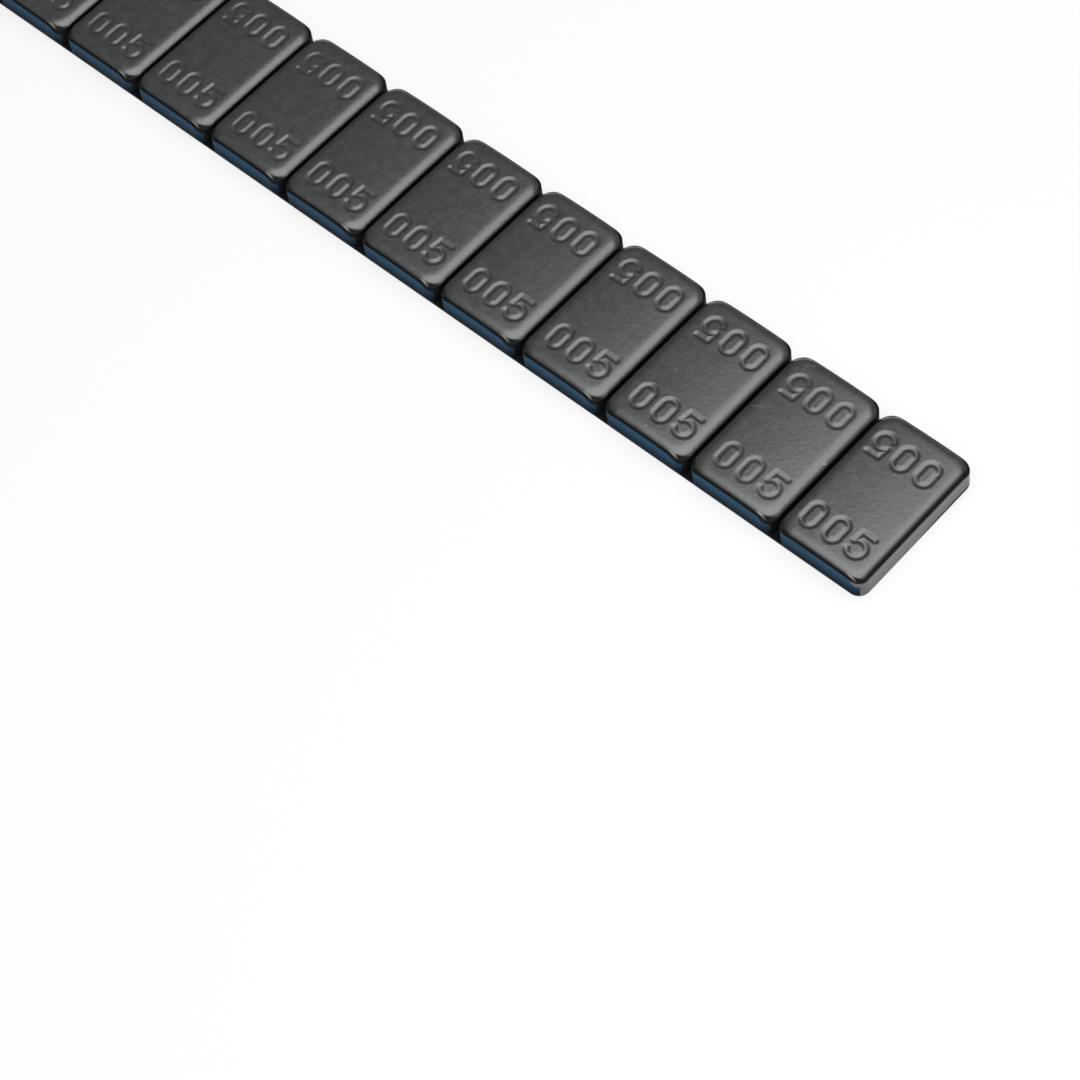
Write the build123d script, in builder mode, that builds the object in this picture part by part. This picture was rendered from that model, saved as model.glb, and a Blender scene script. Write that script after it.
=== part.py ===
from build123d import *
from math import atan, tan
import os

# Stick-on wheel balance weight: a strip of pressed steel pads on one double-sided tape.
# Millimetres. +X runs along the strip, +Y across it, and +Z points away from the wheel.
# The origin is on the underside, at the middle of the strip.

# Steel pads, each one weight unit
SEGMENT_COUNT = 12
SEGMENT_LENGTH = 11.7
SEGMENT_WIDTH = 19.0
SEGMENT_THICKNESS = 3.3
SEGMENT_GAP = 0.5
WALL_CORNER_RADIUS = 1.5

# Pressed top of a pad: it rolls down to the upright wall in an arc and meets it at an edge.
# Round the corners the roll runs on a wider radius than the wall, so the edge dips there.
ROLL_RUN = 1.5
ROLL_DROP = 0.65
ROLL_CORNER_RADIUS = 1.8
BROKEN_EDGE = 0.12

# Double-sided tape under the pads, set in from their sides and cut at the strip's ends
TAPE_THICKNESS = 0.25
TAPE_INSET = 0.15
TAPE_CORNER_RADIUS = 1.35

# Film that covers the free face of the tape, cut to the same outline
LINER_THICKNESS = 0.05

SEGMENT_PITCH = SEGMENT_LENGTH + SEGMENT_GAP
STRIP_LENGTH = SEGMENT_COUNT * SEGMENT_PITCH - SEGMENT_GAP
MIDDLE_LENGTH = SEGMENT_LENGTH - 2 * ROLL_CORNER_RADIUS
MIDDLE_WIDTH = SEGMENT_WIDTH - 2 * ROLL_CORNER_RADIUS
TAPE_LENGTH = STRIP_LENGTH - 2 * TAPE_INSET
TAPE_WIDTH = SEGMENT_WIDTH - 2 * TAPE_INSET
TAPE_BOTTOM = LINER_THICKNESS
PAD_BOTTOM = TAPE_BOTTOM + TAPE_THICKNESS

os.makedirs("parts", exist_ok=True)


def half_section(inside):
    """Half of a section through the pressed top. Its rim begins that far from the middle."""
    roll_start = inside + ROLL_CORNER_RADIUS - ROLL_RUN
    roll_end = inside + ROLL_CORNER_RADIUS
    roll_foot = SEGMENT_THICKNESS - ROLL_DROP
    roll_slope = tan(2 * atan(ROLL_DROP / ROLL_RUN))
    with BuildSketch() as half:
        with BuildLine():
            TangentArc((roll_start, SEGMENT_THICKNESS), (roll_end, roll_foot), tangent=(1, 0))
            Polyline(
                (roll_end, roll_foot),
                (roll_end + roll_foot / roll_slope, 0),
                (0, 0),
                (0, SEGMENT_THICKNESS),
                (roll_start, SEGMENT_THICKNESS),
            )
        make_face()
    return half.sketch


def make_weight(number):
    """One steel pad, counted from the -X end: an upright blank under a pressed top with a rolled rim."""
    name = f"weight_{number:02d}"
    centre_x = (number - 0.5) * SEGMENT_PITCH - (STRIP_LENGTH + SEGMENT_GAP) / 2
    base = Vector(centre_x, 0, PAD_BOTTOM)
    with BuildPart() as weight:
        with BuildSketch(Plane(base, x_dir=(0, 1, 0), z_dir=(1, 0, 0))):
            add(half_section(MIDDLE_WIDTH / 2))
            mirror(about=Plane.YZ)
        extrude(amount=MIDDLE_LENGTH / 2, both=True)
        with BuildSketch(Plane(base, x_dir=(1, 0, 0), z_dir=(0, -1, 0))):
            add(half_section(MIDDLE_LENGTH / 2))
            mirror(about=Plane.YZ)
        extrude(amount=MIDDLE_WIDTH / 2, both=True)
        for side_x in (-1, 1):
            for side_y in (-1, 1):
                corner = base + Vector(side_x * MIDDLE_LENGTH / 2, side_y * MIDDLE_WIDTH / 2, 0)
                with BuildSketch(Plane(corner, x_dir=(1, 0, 0), z_dir=(0, -1, 0))):
                    add(half_section(0))
                revolve(axis=Axis(corner, (0, 0, 1)))
        with BuildSketch(Plane(base)):
            RectangleRounded(SEGMENT_LENGTH, SEGMENT_WIDTH, WALL_CORNER_RADIUS)
        extrude(amount=SEGMENT_THICKNESS, mode=Mode.INTERSECT)
        chamfer(weight.edges().group_by(Axis.Z)[0], BROKEN_EDGE)
    weight.part.label = name
    export_step(weight.part, f"parts/{name}.step")


def make_layer(name, bottom, thickness):
    """A flat layer under the pads: the tape or its liner."""
    with BuildPart() as layer:
        with BuildSketch(Plane.XY.offset(bottom)):
            RectangleRounded(TAPE_LENGTH, TAPE_WIDTH, TAPE_CORNER_RADIUS)
        extrude(amount=thickness)
    layer.part.label = name
    export_step(layer.part, f"parts/{name}.step")


for number in range(1, SEGMENT_COUNT + 1):
    make_weight(number)

make_layer("adhesive_tape", TAPE_BOTTOM, TAPE_THICKNESS)
make_layer("release_liner", 0, LINER_THICKNESS)
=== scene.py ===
"""Looks for a stick-on wheel balance weight, laid out as a Blender add-on and run as a script."""

import math

import bmesh
import bpy
from bpy.props import FloatProperty, FloatVectorProperty, IntProperty, PointerProperty, StringProperty
from bpy.types import Operator, Panel, PropertyGroup
from mathutils import Matrix, Vector, noise


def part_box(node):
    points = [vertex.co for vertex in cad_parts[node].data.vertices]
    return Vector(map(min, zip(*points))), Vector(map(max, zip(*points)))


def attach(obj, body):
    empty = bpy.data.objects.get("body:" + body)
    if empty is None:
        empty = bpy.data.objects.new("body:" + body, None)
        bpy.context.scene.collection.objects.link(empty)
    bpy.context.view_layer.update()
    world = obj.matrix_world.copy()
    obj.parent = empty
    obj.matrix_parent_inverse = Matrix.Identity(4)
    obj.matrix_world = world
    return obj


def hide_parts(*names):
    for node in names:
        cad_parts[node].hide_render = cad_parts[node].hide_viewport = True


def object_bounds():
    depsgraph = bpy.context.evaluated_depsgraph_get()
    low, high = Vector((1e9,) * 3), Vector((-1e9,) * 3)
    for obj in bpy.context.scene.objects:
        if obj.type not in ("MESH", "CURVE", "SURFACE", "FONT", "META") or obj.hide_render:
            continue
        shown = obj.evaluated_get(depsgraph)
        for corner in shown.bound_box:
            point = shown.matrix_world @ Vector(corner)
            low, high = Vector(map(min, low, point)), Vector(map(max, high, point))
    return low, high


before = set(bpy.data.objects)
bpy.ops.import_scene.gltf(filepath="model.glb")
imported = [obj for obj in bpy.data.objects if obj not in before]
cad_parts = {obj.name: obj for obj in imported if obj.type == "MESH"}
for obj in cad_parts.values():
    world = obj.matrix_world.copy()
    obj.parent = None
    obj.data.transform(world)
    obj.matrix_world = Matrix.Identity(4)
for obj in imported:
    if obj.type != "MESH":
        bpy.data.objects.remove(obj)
CAD_LOW, CAD_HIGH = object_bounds()
PAD_NODES = sorted(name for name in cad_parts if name.startswith("weight_"))
PAD_LOW, PAD_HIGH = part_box(PAD_NODES[0])
PAD_HALF = (PAD_HIGH - PAD_LOW) / 2
PAD_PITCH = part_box(PAD_NODES[1])[0].x - PAD_LOW.x
TAPE_LOW, TAPE_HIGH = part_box("adhesive_tape")

bl_info = {
    "name": "Stick-On Balance Weight",
    "version": (1, 0, 0),
    "blender": (4, 5, 0),
    "location": "View3D > Sidebar > Weight",
    "description": "Builds a strip of painted steel balance pads on their tape",
    "category": "Add Mesh",
}

MM = 0.001
BLACK = (0.0, 0.0, 0.0, 1.0)
WHITE = (1.0, 1.0, 1.0, 1.0)

# Strokes of the stamped figures, in millimetres about the middle of a figure.
# A straight stroke is two points; a bend is a centre, a radius, a first angle and a sweep in degrees.
FIGURE_STROKES = {
    "0": {
        "straight": [(-0.85, -0.65, -0.85, 0.65), (0.85, -0.65, 0.85, 0.65)],
        "bend": [(0.0, 0.65, 0.85, 0, 180), (0.0, -0.65, 0.85, 180, 180)],
    },
    "5": {
        "straight": [(-0.7, 1.5, 0.85, 1.5), (-0.7, 1.5, -0.82, 0.2)],
        "bend": [(-0.05, -0.47, 1.02, -150, 288)],
    },
}

# How far a figure and the slopes of its strokes reach from its middle, in millimetres.
FIGURE_REACH_X = 2.0
FIGURE_REACH_Y = 2.4

# How deep each pad's figures are, as a share of the full depth, and how far its stamp
# is off the middle of the pad, in millimetres along and across the strip.
STAMPS = {
    "weight_12": (1.0, -0.3, -0.3),
    "weight_11": (0.72, 0.1, -0.2),
    "weight_10": (0.95, 0.25, -0.1),
    "weight_09": (0.85, 0.1, 0.05),
    "weight_07": (0.9, -0.1, 0.1),
    "weight_05": (0.8, 0.15, -0.1),
}
USUAL_STAMP = (0.9, 0.0, 0.0)

# Small wear on the paint, in millimetres on the plan of the strip: from one point to another,
# half the width of the mark, and how much of the paint is gone.
WEAR = (
    (64.41, 0.2, 64.45, 0.22, 0.06, 0.9),
    (50.83, 8.0, 51.83, 8.8, 0.035, 0.35),
    (49.56, 0.54, 51.64, 1.7, 0.03, 0.3),
    (60.4, -0.25, 60.56, -0.1, 0.09, 0.6),
    (40.34, -0.95, 40.42, -0.92, 0.07, 0.6),
    (42.56, -8.45, 42.7, -8.4, 0.06, 0.6),
)

# How much of the matt paint, a painted shade, shows on the outer part of a rolled edge.
DULL_SHADE_SHARE = 0.97

# The tape's plan corners, and its ragged cut: how deep it is, how many rags there are to a millimetre,
# how far in from the edge the mesh follows it, and which slice of the noise it takes.
TAPE_CORNER = 1.35 * MM
RAG_DEPTH = 0.09 * MM
RAGS_PER_MM = 1.3
RAG_REACH = 1.0 * MM
RAG_SLICE = 4.0

# The floor lies this far under the film and reaches this far from the strip.
FLOOR_GAP = 0.02 * MM
FLOOR_REACH = 4.0


class PadSettings(PropertyGroup):
    """Sizes of one pressed steel pad."""

    corner_radius: FloatProperty(
        name="Wall corner", description="Radius of the walls' corners, seen from above",
        default=1.5 * MM, min=0.5 * MM, precision=5, unit="LENGTH")
    roll_corner: FloatProperty(
        name="Roll corner", description="Radius on which the rolled edge runs round the corners",
        default=2.2 * MM, min=0.5 * MM, precision=5, unit="LENGTH")
    roll_run: FloatProperty(
        name="Roll run", description="How far the rolled edge reaches in from the wall",
        default=1.65 * MM, min=0.2 * MM, precision=5, unit="LENGTH")
    roll_drop: FloatProperty(
        name="Roll drop", description="How far the rolled edge falls to the top of the wall",
        default=0.52 * MM, min=0.1 * MM, precision=5, unit="LENGTH")
    roll_power: FloatProperty(
        name="Roll power",
        description="2 makes the roll an ellipse; more keeps the fall to its outer part",
        default=3.2, min=2.0, max=6.0)
    roll_share: FloatProperty(
        name="Roll share",
        description="How much of the turn to upright the roll makes before the wall cuts it off",
        default=0.89, min=0.5, max=0.99, subtype="FACTOR")
    crown: FloatProperty(
        name="Crown",
        description="How far the top falls from its middle to its ends, before the rolled edge",
        default=0.2 * MM, min=0.0, precision=5, unit="LENGTH")
    crown_across: FloatProperty(
        name="Crown across",
        description="The crown's fall towards the long sides, as a share of that to the ends",
        default=0.3, min=0.0, max=1.0, subtype="FACTOR")
    broken_edge: FloatProperty(
        name="Broken edge", description="Size of the bevel round the underside",
        default=0.06 * MM, min=0.05 * MM, precision=5, unit="LENGTH")
    mesh_step: FloatProperty(
        name="Mesh step", description="Spacing of the mesh under the figures",
        default=0.065 * MM, min=0.05 * MM, precision=5, unit="LENGTH")
    roll_rings: IntProperty(
        name="Roll rings", description="Rings of mesh round the rolled edge", default=18, min=6)


class FigureSettings(PropertyGroup):
    """The figures stamped into both ends of a pad."""

    figures: StringProperty(
        name="Figures", description="Digits stamped at each end of a pad, 0 and 5 only", default="005")
    depth: FloatProperty(
        name="Depth", description="How far the figures are sunk into the top",
        default=0.15 * MM, min=0.0, precision=5, unit="LENGTH")
    pitch: FloatProperty(
        name="Pitch", description="Distance from one figure's middle to the next",
        default=3.05 * MM, min=1.0 * MM, precision=5, unit="LENGTH")
    offset: FloatProperty(
        name="Offset", description="Distance of the figures' line from the middle of the pad",
        default=5.6 * MM, min=0.0, precision=5, unit="LENGTH")
    bed: FloatProperty(
        name="Bed", description="Half width of a stroke's flat bed",
        default=0.03 * MM, min=0.0, precision=5, unit="LENGTH")
    mouth: FloatProperty(
        name="Mouth", description="Half width of a stroke where it meets the top",
        default=0.52 * MM, min=0.1 * MM, precision=5, unit="LENGTH")


class FinishSettings(PropertyGroup):
    """Colours of the coated steel, the tape and the film."""

    paint: FloatVectorProperty(
        name="Paint", description="Satin black paint on the tops and rolled edges",
        default=(0.007, 0.0071, 0.0073), min=0.0, max=1.0, subtype="COLOR")
    side: FloatVectorProperty(
        name="Side coat", description="Dark blue coat on the long side walls",
        default=(0.013, 0.05, 0.096), min=0.0, max=1.0, subtype="COLOR")
    tape: FloatVectorProperty(
        name="Tape", description="Black double-sided tape",
        default=(0.004, 0.004, 0.0045), min=0.0, max=1.0, subtype="COLOR")
    film: FloatVectorProperty(
        name="Film", description="Blue film over the free face of the tape",
        default=(0.012, 0.05, 0.16), min=0.0, max=1.0, subtype="COLOR")
    # This colour is also used for a painted glint on each rolled edge near the pad's bare end, besides the
    # real wear marks.
    glint_and_rubbed: FloatVectorProperty(
        name="Rubbed edge", description="Pale metal where the paint is rubbed off the edge of a pad",
        default=(0.42, 0.4, 0.34), min=0.0, max=1.0, subtype="COLOR")
    # Where the matt paint on the rolled edge, a painted shade, begins.
    dull_shade_edge: FloatProperty(
        name="Dull edge", description="How far the rolled edge has fallen where the paint turns dull",
        default=0.27 * MM, min=0.0, precision=5, unit="LENGTH")
    side_wrap: FloatProperty(
        name="Side coat wrap",
        description="How far the side coat reaches round a corner, in from the side",
        default=1.5 * MM, min=0.0, precision=5, unit="LENGTH")
    side_bare: FloatProperty(
        name="Bare end", description="Length at one end of each pad's sides that has no side coat",
        default=0.45 * MM, min=0.0, precision=5, unit="LENGTH")


class StageSettings(PropertyGroup):
    """Floor, light and camera."""

    floor: FloatVectorProperty(
        name="Floor", description="White floor",
        default=(0.9, 0.9, 0.9), min=0.0, max=1.0, subtype="COLOR")
    box_radiance: FloatProperty(
        name="Softbox brightness", description="Brightness of the softbox face, where 1 is white",
        default=2.1, min=0.0)
    box_spread: FloatProperty(
        name="Softbox spread", description="Half the angle that the softbox fills, seen from the strip",
        default=math.radians(40.7), min=0.0, max=math.radians(60.0), subtype="ANGLE")
    box_distance: FloatProperty(
        name="Softbox distance", description="Distance of the softbox from the strip",
        default=0.28, min=0.1, unit="LENGTH")
    box_direction: FloatVectorProperty(
        name="Softbox direction", description="Where the softbox hangs, seen from the strip",
        default=(0.381, -0.058, 0.923), subtype="DIRECTION")
    dome_low: FloatProperty(
        name="Surround, low", description="Brightness of the grey surround at the floor",
        default=0.12, min=0.0)
    dome_high: FloatProperty(
        name="Surround, high", description="Brightness of the grey surround overhead",
        default=0.35, min=0.0)
    fill: FloatProperty(
        name="Fill", description="Brightness of the even fill light", default=0.2, min=0.0)
    dome_radius: FloatProperty(
        name="Surround radius", description="Distance of the grey surround from the strip",
        default=2.5, min=0.5, unit="LENGTH")
    target: FloatVectorProperty(
        name="Target", description="Point that the camera looks at",
        default=(43.532 * MM, -26.323 * MM, 3.76 * MM), precision=5,
        subtype="XYZ_LENGTH", unit="LENGTH")
    distance: FloatProperty(
        name="Distance", description="Distance of the camera from its target",
        default=346.908 * MM, min=0.05, precision=5, unit="LENGTH")
    azimuth: FloatProperty(
        name="Azimuth", description="Turn of the camera round the strip",
        default=math.radians(51.04), subtype="ANGLE")
    elevation: FloatProperty(
        name="Elevation", description="Height angle of the camera",
        default=math.radians(57.57), subtype="ANGLE")
    roll: FloatProperty(
        name="Roll", description="Turn of the camera about its own view line",
        default=math.radians(-10.42), subtype="ANGLE")
    lens: FloatProperty(
        name="Lens", description="Focal length on a 36 mm sensor",
        default=110.39, min=10.0, unit="CAMERA")


class WeightSettings(PropertyGroup):
    """All settings of the balance weight."""

    pad: PointerProperty(type=PadSettings)
    figure: PointerProperty(type=FigureSettings)
    finish: PointerProperty(type=FinishSettings)
    stage: PointerProperty(type=StageSettings)


class Value:
    """One output of a node. Arithmetic on it adds Math nodes to the same finish."""

    def __init__(self, finish, socket):
        self.finish = finish
        self.socket = socket

    def out(self, name):
        """Another output of the same node."""
        return Value(self.finish, self.socket.node.outputs[name])

    def _math(self, operation, *operands):
        return self.finish.add("ShaderNodeMath", {"operation": operation}, dict(enumerate(operands)))

    def __add__(self, other):
        return self._math("ADD", self, other)

    def __radd__(self, other):
        return self._math("ADD", other, self)

    def __sub__(self, other):
        return self._math("SUBTRACT", self, other)

    def __rsub__(self, other):
        return self._math("SUBTRACT", other, self)

    def __mul__(self, other):
        return self._math("MULTIPLY", self, other)

    def __rmul__(self, other):
        return self._math("MULTIPLY", other, self)

    def __truediv__(self, other):
        return self._math("DIVIDE", self, other)

    def __pow__(self, other):
        return self._math("POWER", self, other)

    def __abs__(self):
        return self._math("ABSOLUTE", self)

    def whole(self):
        """The number rounded down."""
        return self._math("FLOOR", self)

    def rise(self, low, high):
        """0 up to low, 1 from high on, and a smooth step between. It falls where low is the higher."""
        return self.finish.add(
            "ShaderNodeMapRange", {"interpolation_type": "SMOOTHSTEP", "clamp": True},
            {"Value": self, "From Min": low, "From Max": high})


class Finish:
    """A material or world, built node by node."""

    def __init__(self, owner):
        owner.use_nodes = True
        self.owner = owner
        self.tree = owner.node_tree
        self.tree.nodes.clear()

    def add(self, kind, settings=None, inputs=None, output=None):
        """Adds a node: its settings first, then the values or links of its inputs. Returns one output."""
        node = self.tree.nodes.new(kind)
        for name, value in (settings or {}).items():
            setattr(node, name, value)
        for key, value in (inputs or {}).items():
            if isinstance(key, int):
                socket = node.inputs[key]
            else:
                socket = next(s for s in node.inputs if s.enabled and s.name == key)
            if isinstance(value, Value):
                self.tree.links.new(value.socket, socket)
            else:
                socket.default_value = value
        if not node.outputs:
            return None
        if output:
            return Value(self, node.outputs[output])
        return Value(self, next(s for s in node.outputs if s.enabled))

    def millimetres(self):
        """Object coordinates in millimetres."""
        place = self.add("ShaderNodeTexCoord", output="Object")
        return self.add("ShaderNodeVectorMath", {"operation": "SCALE"}, {"Vector": place, "Scale": 1.0 / MM})

    def stretched(self, place, scale):
        """The place, stretched by a factor along each axis."""
        return self.add("ShaderNodeVectorMath", {"operation": "MULTIPLY"}, {0: place, 1: scale})

    def grain(self, place, per_mm, detail=2.0, roughness=0.5):
        """Soft noise from 0 to 1 with that many features to a millimetre."""
        return self.add(
            "ShaderNodeTexNoise", None,
            {"Vector": place, "Scale": per_mm, "Detail": detail, "Roughness": roughness}, "Fac")

    def tint(self, factor, first, second):
        """A colour between two others."""
        return self.add(
            "ShaderNodeMix", {"data_type": "RGBA"}, {"Factor": factor, "A": first, "B": second})

    def relief(self, height_mm):
        """A normal that shows a height given in millimetres."""
        return self.add("ShaderNodeBump", None, {"Strength": 1.0, "Distance": MM, "Height": height_mm})

    def coat(self, sockets):
        """A Principled shader with those sockets."""
        return self.add("ShaderNodeBsdfPrincipled", None, sockets)

    def layered(self, factor, under, over):
        """One shader over another."""
        return self.add("ShaderNodeMixShader", None, {0: factor, 1: under, 2: over})

    def surface(self, shader):
        """Ends the finish with its surface shader."""
        is_world = isinstance(self.owner, bpy.types.World)
        kind = "ShaderNodeOutputWorld" if is_world else "ShaderNodeOutputMaterial"
        self.add(kind, None, {"Surface": shader})
        return self.owner


def opaque(colour, share=1.0):
    """A colour property as the four numbers of a node's colour, darker or lighter by a share."""
    return (colour[0] * share, colour[1] * share, colour[2] * share, 1.0)


def paint_coat(finish, place, colours):
    """Satin black paint with faint mottling, orange peel and a few dust nibs."""
    cloud = finish.grain(place, per_mm=0.35, detail=3.0, roughness=0.55)
    blotch = finish.grain(place, per_mm=0.9, detail=5.0, roughness=0.72).rise(0.33, 0.72)
    peel = finish.grain(place, per_mm=1.9, detail=3.0, roughness=0.6)
    # Cells of about 5 mm, of which not quite half hold one nib.
    dust = finish.add(
        "ShaderNodeTexVoronoi", {"feature": "F1"}, {"Vector": place, "Scale": 0.2}, "Distance")
    chosen = finish.add("ShaderNodeSeparateColor", None, {"Color": dust.out("Color")}, "Red")
    nib = dust.rise(0.026, 0.008) * chosen.rise(0.55, 0.6)
    return finish.coat({
        "Base Color": finish.tint(blotch, opaque(colours.paint, 0.1), opaque(colours.paint, 2.4)),
        "Roughness": 0.27 + 0.07 * cloud + 0.04 * peel + 0.04 * blotch,
        "IOR": 2.1,
        # The faint green tint of the reflections is painted, in place of greenish light.
        "Specular Tint": (0.95, 1.0, 0.985, 1.0),
        "Normal": finish.relief(0.011 * cloud + 0.022 * peel + 0.02 * nib),
    })


def dull_shade_coat(finish, colours):
    """Thin matt black paint: painted shade on the rolled edges and on the ends that face the next pad, and
    darker along the walls' foot.
    """
    return finish.coat({
        "Base Color": opaque(colours.paint, 0.9),
        "Roughness": 0.6,
        "Specular IOR Level": 0.05,
    })


def place_on_pad(finish, place):
    """Millimetres along the strip from the middle of a pad, across the strip and up."""
    axes = finish.add("ShaderNodeSeparateXYZ", None, {"Vector": place})
    along, across, up = axes.out("X"), axes.out("Y"), axes.out("Z")
    pitch = PAD_PITCH / MM
    return along - pitch * (along / pitch).whole() - pitch / 2, across, up


def towards_bare_end(along, across):
    """The place along a pad, counted on both long sides towards the end that has no side coat."""
    return along * (2.0 * across.rise(1.0, -1.0) - 1.0)


def from_strip_end(finish, place):
    """Millimetres from the nearer end of the whole strip."""
    along = finish.add("ShaderNodeSeparateXYZ", None, {"Vector": place}, "X")
    return CAD_HIGH.x / MM - abs(along)


def wear_mark(finish, place, start_x, start_y, end_x, end_y, half_width, share):
    """A short scratch or speck, as a share from 0 to that share."""
    flat = finish.stretched(place, (1.0, 1.0, 0.0))
    from_start = finish.add(
        "ShaderNodeVectorMath", {"operation": "SUBTRACT"}, {0: flat, 1: (start_x, start_y, 0.0)})
    run = (end_x - start_x, end_y - start_y, 0.0)
    along = finish.add(
        "ShaderNodeVectorMath", {"operation": "DOT_PRODUCT"}, {0: from_start, 1: run}, "Value")
    part = finish.add(
        "ShaderNodeMath", {"operation": "DIVIDE", "use_clamp": True},
        {0: along, 1: run[0] ** 2 + run[1] ** 2})
    nearest = finish.add("ShaderNodeVectorMath", {"operation": "SCALE"}, {"Vector": run, "Scale": part})
    distance = finish.add(
        "ShaderNodeVectorMath", {"operation": "DISTANCE"}, {0: from_start, 1: nearest}, "Value")
    return share * distance.rise(half_width, 0.4 * half_width)


def top_finish(settings):
    """Black paint on a pad's top: matt on the outer part of the rolled edge, a painted shade; a painted
    glint in a thin crescent near each bare end; and a few real wear marks.
    """
    colours, pad = settings.finish, settings.pad
    finish = Finish(bpy.data.materials.new("black_top"))
    place = finish.millimetres()
    along, across, up = place_on_pad(finish, place)
    half_x, half_y = PAD_HALF.x / MM, PAD_HALF.y / MM
    inward = half_y - abs(across)

    # Matt paint, a painted shade, covers the roll where it has fallen far enough below the crown: lower down
    # at a pad's ends than along its sides, and hardly at all at its -X end.
    sunk = pad.crown / MM * (along * along / half_x ** 2 + pad.crown_across / half_y ** 2 * across * across)
    fallen = PAD_HIGH.z / MM - sunk - up
    dull_shade_at = colours.dull_shade_edge / MM
    at_end = (inward - half_x + abs(along)).rise(-1.2, 1.6)
    dull_shade = DULL_SHADE_SHARE * (fallen - 0.25 * at_end).rise(dull_shade_at - 0.1, dull_shade_at + 0.1)
    dull_shade = dull_shade * (1.0 - 0.8 * at_end * along.rise(0.0, -4.0))

    # At both ends of the strip the line of painted shade starts farther in and stops just short of the edge.
    from_end = from_strip_end(finish, place)
    dull_shade = (dull_shade + from_end.rise(0.82, 0.25) * (DULL_SHADE_SHARE - dull_shade)) * from_end.rise(-0.1, 0.16)

    # A thin crescent of painted glint, as pale metal, on each long side near its bare end, and a few single
    # wear marks.
    ragged = 0.1 * finish.grain(place, per_mm=1.5)
    towards = towards_bare_end(along, across)
    glint_and_wear = (inward - ragged).rise(0.14, 0.28) * (inward + ragged).rise(0.5, 0.36)
    glint_and_wear = 0.75 * glint_and_wear * towards.rise(3.5, 4.4) * towards.rise(5.1, 4.4)
    for mark in WEAR:
        glint_and_wear = glint_and_wear + wear_mark(finish, place, *mark)

    glint_and_bare_metal = finish.coat({
        "Base Color": opaque(colours.glint_and_rubbed),
        "Roughness": 0.4,
        "Specular IOR Level": 0.5,
    })
    painted = finish.layered(dull_shade, paint_coat(finish, place, colours), dull_shade_coat(finish, colours))
    return finish.surface(finish.layered(glint_and_wear, painted, glint_and_bare_metal))


def wall_finish(settings):
    """Black paint on a pad's ends, matt as painted shade where it faces the next pad, and a blue coat on its
    long sides.
    """
    colours = settings.finish
    finish = Finish(bpy.data.materials.new("coated_walls"))
    place = finish.millimetres()
    along, across, up = place_on_pad(finish, place)
    towards = towards_bare_end(along, across)

    # The blue is streaked along the strip; its lighter top is a painted highlight and its darker foot a
    # painted shade.
    streak = finish.grain(
        finish.stretched(place, (0.25, 1.0, 1.6)), per_mm=1.0, detail=3.0, roughness=0.55)
    grit = finish.grain(place, per_mm=6.0, detail=2.0, roughness=0.6)
    lit_top_shaded_foot = up.rise(0.7, 2.6) * (0.75 + 0.5 * streak)
    side = finish.coat({
        "Base Color": finish.tint(lit_top_shaded_foot, opaque(colours.side, 0.2), opaque(colours.side, 1.5)),
        "Roughness": 0.55 + 0.1 * streak,
        "Specular IOR Level": 0.05,
        "Normal": finish.relief(0.004 * grit + 0.006 * streak),
    })

    # It wraps the corners but leaves one end bare, and its wavy upper limit dips towards that end.
    wrap = (PAD_HALF.y - colours.side_wrap) / MM
    bare = (PAD_HALF.x - colours.side_bare) / MM
    coated = abs(across).rise(wrap - 0.1, wrap + 0.1) * towards.rise(bare + 0.03, bare - 0.03)
    lap = up + 1.2 * towards.rise(3.4, 5.4) + 0.3 * (streak - 0.5)
    coated = coated * lap.rise(3.25, 3.1)

    # On the +Y side it stops short of both ends of a pad.
    from_end = PAD_HALF.x / MM - abs(along)
    coated = coated * (from_end + 2.0 * across.rise(1.0, -1.0)).rise(1.2, 1.4)

    # The paint is matt on every end but the strip's own two, a painted shade between the pads; those two are
    # darker along their uneven foot.
    shade_between_pads = from_strip_end(finish, place).rise(1.0, 2.0)
    uneven = 0.5 * finish.grain(place, per_mm=0.9, detail=3.0, roughness=0.6)
    foot = up - PAD_LOW.z / MM + uneven - 0.3 * across.rise(-1.0, 3.0)
    duller_foot = 0.75 * foot.rise(0.5, 0.38) + 0.12 * up.rise(2.2, 1.5)
    painted = finish.layered(shade_between_pads, paint_coat(finish, place, colours), dull_shade_coat(finish, colours))
    painted = finish.layered(duller_foot, painted, dull_shade_coat(finish, colours))
    return finish.surface(finish.layered(coated, painted, side))


def tape_finish(colours):
    """Dull black foam tape."""
    finish = Finish(bpy.data.materials.new("black_tape"))
    place = finish.millimetres()
    cells = finish.grain(place, per_mm=5.0, detail=2.0, roughness=0.6)
    return finish.surface(finish.coat({
        "Base Color": finish.tint(cells, opaque(colours.tape, 0.6), opaque(colours.tape, 1.4)),
        "Roughness": 0.7 + 0.2 * cells,
        "Specular IOR Level": 0.15,
        "Normal": finish.relief(0.02 * cells),
    }))


def film_finish(colours):
    """Smooth blue film with faint ripples from the roll."""
    finish = Finish(bpy.data.materials.new("blue_film"))
    place = finish.millimetres()
    ripple = finish.grain(finish.stretched(place, (0.3, 0.05, 1.0)), per_mm=1.0)
    return finish.surface(finish.coat({
        "Base Color": finish.tint(ripple, opaque(colours.film, 0.9), opaque(colours.film, 1.1)),
        "Roughness": 0.25 + 0.1 * ripple,
        "Normal": finish.relief(0.02 * ripple),
    }))


def straight_distance(x, y, stroke):
    """Distance of a point from a straight stroke."""
    x0, y0, x1, y1 = stroke
    along_x, along_y = x1 - x0, y1 - y0
    share = ((x - x0) * along_x + (y - y0) * along_y) / (along_x ** 2 + along_y ** 2)
    share = min(1.0, max(0.0, share))
    return math.hypot(x - x0 - share * along_x, y - y0 - share * along_y)


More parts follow.
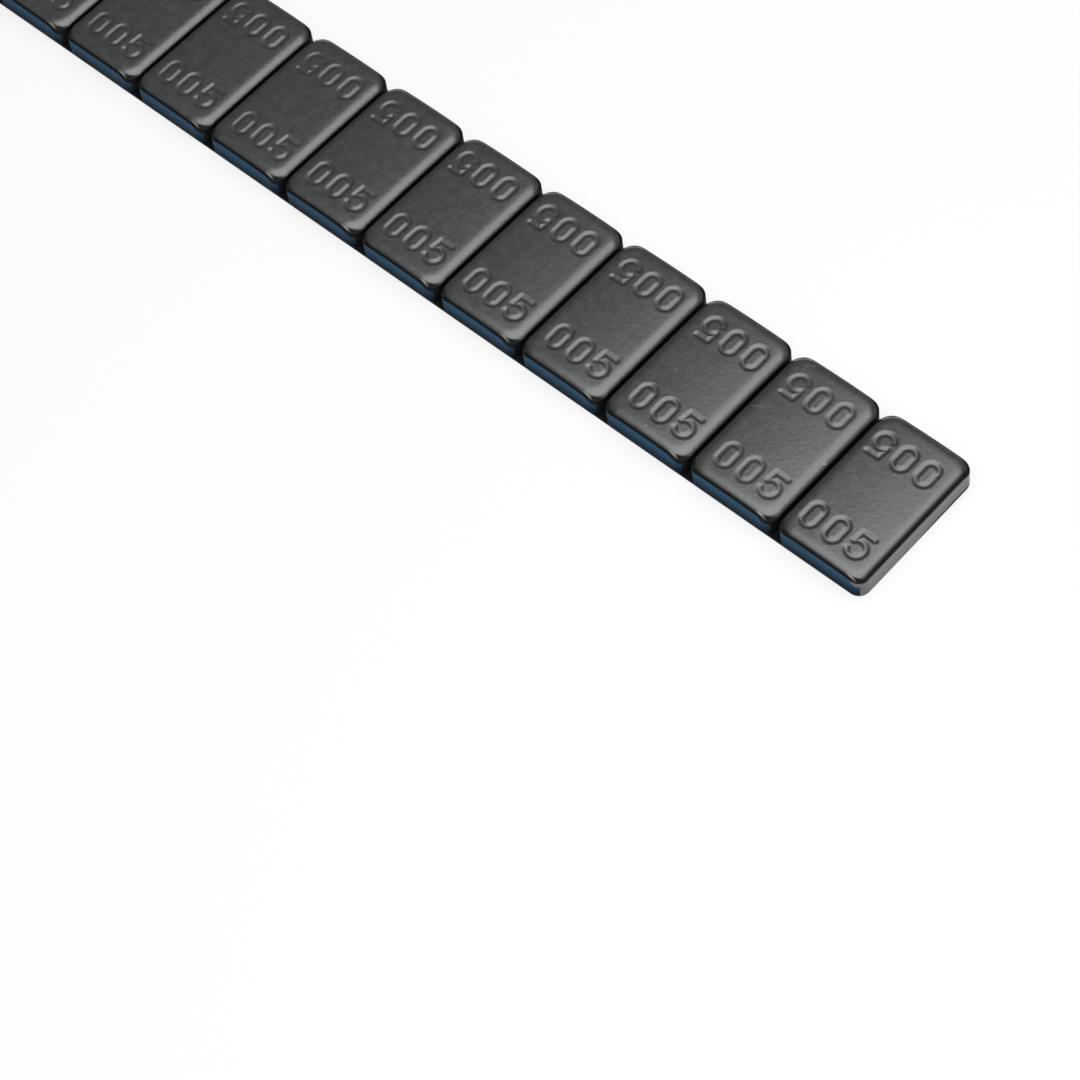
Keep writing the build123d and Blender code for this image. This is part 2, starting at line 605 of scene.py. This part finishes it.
def bend_distance(x, y, stroke):
    """Distance of a point from a bent stroke."""
    centre_x, centre_y, radius, first, sweep = stroke
    angle = math.degrees(math.atan2(y - centre_y, x - centre_x))
    if (angle - first) % 360 <= sweep:
        return abs(math.hypot(x - centre_x, y - centre_y) - radius)
    ends = [math.radians(first), math.radians(first + sweep)]
    return min(
        math.hypot(x - centre_x - radius * math.cos(end), y - centre_y - radius * math.sin(end))
        for end in ends)


def figure_relief(x, y, figure):
    """How much of the figures' full depth is sunk at a point of a pad, in metres about the pad's middle.
    The far figures are the near ones turned half round, so both read from their own side."""
    if y > 0:
        x, y = -x, -y
    x, y = x / MM, (y + figure.offset) / MM
    reach = figure.mouth / MM
    pitch = figure.pitch / MM
    nearest = reach
    for place, digit in enumerate(figure.figures):
        local = x - (place - (len(figure.figures) - 1) / 2) * pitch
        if abs(local) > FIGURE_REACH_X or abs(y) > FIGURE_REACH_Y:
            continue
        strokes = FIGURE_STROKES[digit]
        for stroke in strokes["straight"]:
            nearest = min(nearest, straight_distance(local, y, stroke))
        for stroke in strokes["bend"]:
            nearest = min(nearest, bend_distance(local, y, stroke))
    bed = figure.bed / MM
    share = min(1.0, max(0.0, (reach - nearest) / (reach - bed)))
    return share * share * (3.0 - 2.0 * share)


def mesh_lines(half, plain, pad):
    """Places of the mesh lines from wall to wall: wide apart over the plain middle of a pad,
    close together under the figures and over the rolled edges."""
    flat = half - pad.roll_run
    wide_step = 6 * pad.mesh_step
    wide = round(plain / wide_step)
    close = round((flat - plain) / pad.mesh_step)
    side = [plain * line / wide for line in range(1, wide + 1)]
    side += [plain + (flat - plain) * line / close for line in range(1, close + 1)]
    side += [flat + pad.roll_run * math.sin(math.pi / 2 * ring / pad.roll_rings)
             for ring in range(1, pad.roll_rings + 1)]
    return [-place for place in reversed(side)] + [0.0] + side


def round_corner(x, y, half_x, half_y, radius):
    """Carries a point of a square-cornered grid to the plan with round corners."""
    core_x, core_y = half_x - radius, half_y - radius
    past_x, past_y = abs(x) - core_x, abs(y) - core_y
    if past_x <= 0 or past_y <= 0:
        return x, y
    reach = max(past_x, past_y)
    if past_x >= past_y:
        turn = math.pi / 4 * past_y / past_x
    else:
        turn = math.pi / 2 - math.pi / 4 * past_x / past_y
    x = math.copysign(core_x + reach * math.cos(turn), x)
    y = math.copysign(core_y + reach * math.sin(turn), y)
    return x, y


def inward_distance(x, y, half_x, half_y, radius):
    """How far a point lies inside a plan with round corners; less than 0 outside it."""
    past_x, past_y = abs(x) - half_x + radius, abs(y) - half_y + radius
    if past_x <= 0 or past_y <= 0:
        return min(half_x - abs(x), half_y - abs(y))
    return radius - math.hypot(past_x, past_y)


def roll_fall(inward, pad):
    """How far the rolled edge has fallen at a distance in from its outline.
    Outside that, at the corners, it falls on straight with half the slope."""
    full = pad.roll_share ** pad.roll_power
    depth = pad.roll_drop / (1.0 - math.sqrt(1.0 - full))
    share = pad.roll_share * min(1.0, max(0.0, 1.0 - inward / pad.roll_run))
    fall = depth * (1.0 - math.sqrt(1.0 - share ** pad.roll_power))
    slope = depth * pad.roll_power / 2 * full / math.sqrt(1.0 - full) / pad.roll_run
    return fall + 0.5 * slope * max(0.0, -inward)


def pressed_pad(node, settings):
    """A pad pressed from a flat grid: crown, rolled edge and figures, then walls and a broken lower edge."""
    pad, figure = settings.pad, settings.figure
    low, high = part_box(node)
    middle, half = (low + high) / 2, (high - low) / 2
    share, shift_x, shift_y = STAMPS.get(node, USUAL_STAMP)
    lines_x = mesh_lines(half.x, 0.0, pad)
    lines_y = mesh_lines(half.y, figure.offset - FIGURE_REACH_Y * MM, pad)
    bm = bmesh.new()
    bmesh.ops.create_grid(bm, x_segments=len(lines_x) - 1, y_segments=len(lines_y) - 1, size=0.5)
    for vert in bm.verts:
        x = lines_x[round((vert.co.x + 0.5) * (len(lines_x) - 1))]
        y = lines_y[round((vert.co.y + 0.5) * (len(lines_y) - 1))]
        x, y = round_corner(x, y, half.x, half.y, pad.corner_radius)
        z = high.z
        z -= pad.crown * ((x / half.x) ** 2 + pad.crown_across * (y / half.y) ** 2)
        z -= roll_fall(inward_distance(x, y, half.x, half.y, pad.roll_corner), pad)
        z -= share * figure.depth * figure_relief(x - shift_x * MM, y - shift_y * MM, figure)
        vert.co = (middle.x + x, middle.y + y, z)
    top = set(bm.faces)
    rim = [edge for edge in bm.edges if edge.is_boundary]
    for bottom, inset in ((low.z + pad.broken_edge, 0.0), (low.z, pad.broken_edge)):
        for edge in rim:
            edge.smooth = False
        made = bmesh.ops.extrude_edge_only(bm, edges=rim)["geom"]
        for vert in (part for part in made if isinstance(part, bmesh.types.BMVert)):
            out_x = vert.co.x - middle.x
            out_y = vert.co.y - middle.y
            core_x = min(max(out_x, pad.corner_radius - half.x), half.x - pad.corner_radius)
            core_y = min(max(out_y, pad.corner_radius - half.y), half.y - pad.corner_radius)
            outward = Vector((out_x - core_x, out_y - core_y, 0.0)).normalized()
            vert.co -= inset * outward
            vert.co.z = bottom
        rim = [part for part in made if isinstance(part, bmesh.types.BMEdge) and part.is_boundary]
    for edge in rim:
        edge.smooth = False
    bmesh.ops.holes_fill(bm, edges=rim, sides=0)
    for face in bm.faces:
        face.smooth = True
        face.material_index = 0 if face in top else 1
    bmesh.ops.recalc_face_normals(bm, faces=bm.faces)
    return bm


def cut_tape():
    """The tape as a thin slab whose cut edges are a little ragged."""
    half = (TAPE_HIGH - TAPE_LOW) / 2
    middle = (TAPE_HIGH + TAPE_LOW) / 2
    bm = bmesh.new()
    bmesh.ops.create_grid(bm, x_segments=420, y_segments=24, size=1.0)
    for vert in bm.verts:
        x, y = round_corner(vert.co.x * half.x, vert.co.y * half.y, half.x, half.y, TAPE_CORNER)
        inward = inward_distance(x, y, half.x, half.y, TAPE_CORNER)
        ragged = 0.5 + 0.5 * noise.noise(Vector((x / MM * RAGS_PER_MM, y / MM * RAGS_PER_MM, RAG_SLICE)))
        ragged = RAG_DEPTH * min(1.0, max(0.0, ragged))
        pull = max(0.0, 1.0 - inward / RAG_REACH) * ragged
        outward = Vector((x / half.x, y / half.y, 0.0))
        vert.co = Vector((middle.x + x, middle.y + y, TAPE_HIGH.z)) - pull * outward
    made = bmesh.ops.extrude_face_region(bm, geom=bm.faces[:])["geom"]
    for vert in (part for part in made if isinstance(part, bmesh.types.BMVert)):
        vert.co.z = TAPE_LOW.z
    bmesh.ops.recalc_face_normals(bm, faces=bm.faces)
    return bm


def placed(name, bm, *finishes):
    """Makes an object of a finished bmesh, with its finishes."""
    mesh = bpy.data.meshes.new(name)
    bm.to_mesh(mesh)
    bm.free()
    for finish in finishes:
        mesh.materials.append(finish)
    piece = bpy.data.objects.new(name, mesh)
    bpy.context.scene.collection.objects.link(piece)
    return piece


class WEIGHT_OT_pads(Operator):
    """Press the row of painted steel pads"""

    bl_idname = "balance_weight.pads"
    bl_label = "Steel Pads"
    bl_options = {"REGISTER", "UNDO"}

    def execute(self, context):
        settings = context.scene.balance_weight
        if not settings.figure.figures or set(settings.figure.figures) - set(FIGURE_STROKES):
            raise ValueError("the figures may only hold the digits " + ", ".join(FIGURE_STROKES))
        finishes = top_finish(settings), wall_finish(settings)
        for node in PAD_NODES:
            pad = placed(node.replace("weight", "pad"), pressed_pad(node, settings), *finishes)
            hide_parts(node)
            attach(pad, "root")
        return {"FINISHED"}


class WEIGHT_OT_tape(Operator):
    """Lay the black tape under the pads"""

    bl_idname = "balance_weight.tape"
    bl_label = "Adhesive Tape"
    bl_options = {"REGISTER", "UNDO"}

    def execute(self, context):
        tape = placed("tape", cut_tape(), tape_finish(context.scene.balance_weight.finish))
        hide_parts("adhesive_tape")
        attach(tape, "root")
        return {"FINISHED"}


class WEIGHT_OT_liner(Operator):
    """Colour the film on the free face of the tape"""

    bl_idname = "balance_weight.liner"
    bl_label = "Release Film"
    bl_options = {"REGISTER", "UNDO"}

    def execute(self, context):
        film = film_finish(context.scene.balance_weight.finish)
        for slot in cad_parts["release_liner"].material_slots:
            slot.material = film
        return {"FINISHED"}


def background_share(finish):
    """1 on rays that see the background straight, in a reflection or through glass."""
    ray = finish.add("ShaderNodeLightPath", None, None, "Is Camera Ray")
    return (ray + ray.out("Is Glossy Ray") + ray.out("Is Transmission Ray")).rise(0.0, 1.0)


def floor_finish(stage):
    """A white floor that keeps a soft shadow round the strip."""
    finish = Finish(bpy.data.materials.new("white_floor"))
    matte = finish.add("ShaderNodeBsdfDiffuse", None, {"Color": opaque(stage.floor)})
    white = finish.add("ShaderNodeEmission", None, {"Color": WHITE, "Strength": 1.0})
    place = finish.add("ShaderNodeTexCoord", output="Object")
    distance = finish.add("ShaderNodeVectorMath", {"operation": "LENGTH"}, {0: place}, "Value")
    whiteness = 0.77 + 0.23 * distance.rise(0.1, 0.3)
    return finish.surface(finish.layered(whiteness * background_share(finish), matte, white))


def surround_finish(stage):
    """Grey studio walls, lighter towards the ceiling."""
    finish = Finish(bpy.data.materials.new("grey_surround"))
    place = finish.add("ShaderNodeTexCoord", output="Object")
    height = finish.add("ShaderNodeSeparateXYZ", None, {"Vector": place}, "Z") / stage.dome_radius
    glow = stage.dome_low + (stage.dome_high - stage.dome_low) * height.rise(0.0, 1.0) ** 0.625
    finish.owner.cycles.emission_sampling = "NONE"
    return finish.surface(finish.add(
        "ShaderNodeEmission", None, {"Color": finish.tint(glow, BLACK, WHITE), "Strength": 1.0}))


def looking(place, direction):
    """A transform that stands at a place and looks in a direction."""
    return Matrix.Translation(place) @ direction.to_track_quat("-Z", "Y").to_matrix().to_4x4()


class WEIGHT_OT_stage(Operator):
    """Set out the floor, the light and the camera"""

    bl_idname = "balance_weight.stage"
    bl_label = "Stage"
    bl_options = {"REGISTER", "UNDO"}

    def execute(self, context):
        stage = context.scene.balance_weight.stage
        scene = context.scene
        bm = bmesh.new()
        bmesh.ops.create_grid(bm, x_segments=1, y_segments=1, size=FLOOR_REACH)
        bmesh.ops.translate(bm, verts=bm.verts, vec=(0.0, 0.0, CAD_LOW.z - FLOOR_GAP))
        placed("floor", bm, floor_finish(stage))

        bm = bmesh.new()
        bmesh.ops.create_uvsphere(bm, u_segments=64, v_segments=32, radius=stage.dome_radius)
        bmesh.ops.reverse_faces(bm, faces=bm.faces)
        dome = placed("surround", bm, surround_finish(stage))
        dome.visible_camera = False
        dome.visible_diffuse = False
        dome.visible_shadow = False

        lamp = bpy.data.lights.new("softbox", "AREA")
        lamp.shape = "DISK"
        radius = stage.box_distance * math.tan(stage.box_spread)
        lamp.size = 2 * radius
        lamp.energy = stage.box_radiance * math.pi * (math.pi * radius * radius)
        softbox = bpy.data.objects.new("softbox", lamp)
        softbox.visible_camera = False
        scene.collection.objects.link(softbox)
        towards = Vector(stage.box_direction).normalized()
        softbox.matrix_world = looking(stage.box_distance * towards, -towards)

        scene.world = bpy.data.worlds.new("background")
        white = Finish(scene.world)
        white.surface(white.add("ShaderNodeBackground", None, {
            "Color": WHITE,
            "Strength": stage.fill + (1.0 - stage.fill) * background_share(white)}))
        scene.view_settings.view_transform = "Standard"

        camera = bpy.data.objects.new("camera", bpy.data.cameras.new("camera"))
        scene.collection.objects.link(camera)
        camera.data.lens = stage.lens
        camera.data.sensor_width = 36.0
        camera.data.clip_start = 0.01
        camera.data.clip_end = 20.0
        back = Vector((
            math.sin(stage.azimuth) * math.cos(stage.elevation),
            -math.cos(stage.azimuth) * math.cos(stage.elevation),
            math.sin(stage.elevation)))
        stand = Vector(stage.target) + stage.distance * back
        camera.matrix_world = looking(stand, -back) @ Matrix.Rotation(stage.roll, 4, "Z")
        scene.camera = camera
        return {"FINISHED"}


class WEIGHT_PT_sidebar(Panel):
    """Lists the steps that build the balance weight"""

    bl_idname = "WEIGHT_PT_sidebar"
    bl_label = "Balance Weight"
    bl_space_type = "VIEW_3D"
    bl_region_type = "UI"
    bl_category = "Weight"

    def draw(self, context):
        settings = context.scene.balance_weight
        for group in (settings.pad, settings.figure, settings.finish, settings.stage):
            column = self.layout.column(align=True)
            for name in group.__annotations__:
                column.prop(group, name)
        for step in STEPS:
            self.layout.operator(step.bl_idname)


STEPS = (WEIGHT_OT_pads, WEIGHT_OT_tape, WEIGHT_OT_liner, WEIGHT_OT_stage)
CLASSES = (
    PadSettings, FigureSettings, FinishSettings, StageSettings, WeightSettings,
    *STEPS, WEIGHT_PT_sidebar,
)


def register():
    for kind in CLASSES:
        bpy.utils.register_class(kind)
    bpy.types.Scene.balance_weight = PointerProperty(type=WeightSettings)


def unregister():
    del bpy.types.Scene.balance_weight
    for kind in reversed(CLASSES):
        bpy.utils.unregister_class(kind)


def main():
    register()
    bpy.ops.balance_weight.pads()
    bpy.ops.balance_weight.tape()
    bpy.ops.balance_weight.liner()
    bpy.ops.balance_weight.stage()


if __name__ == "__main__":
    main()
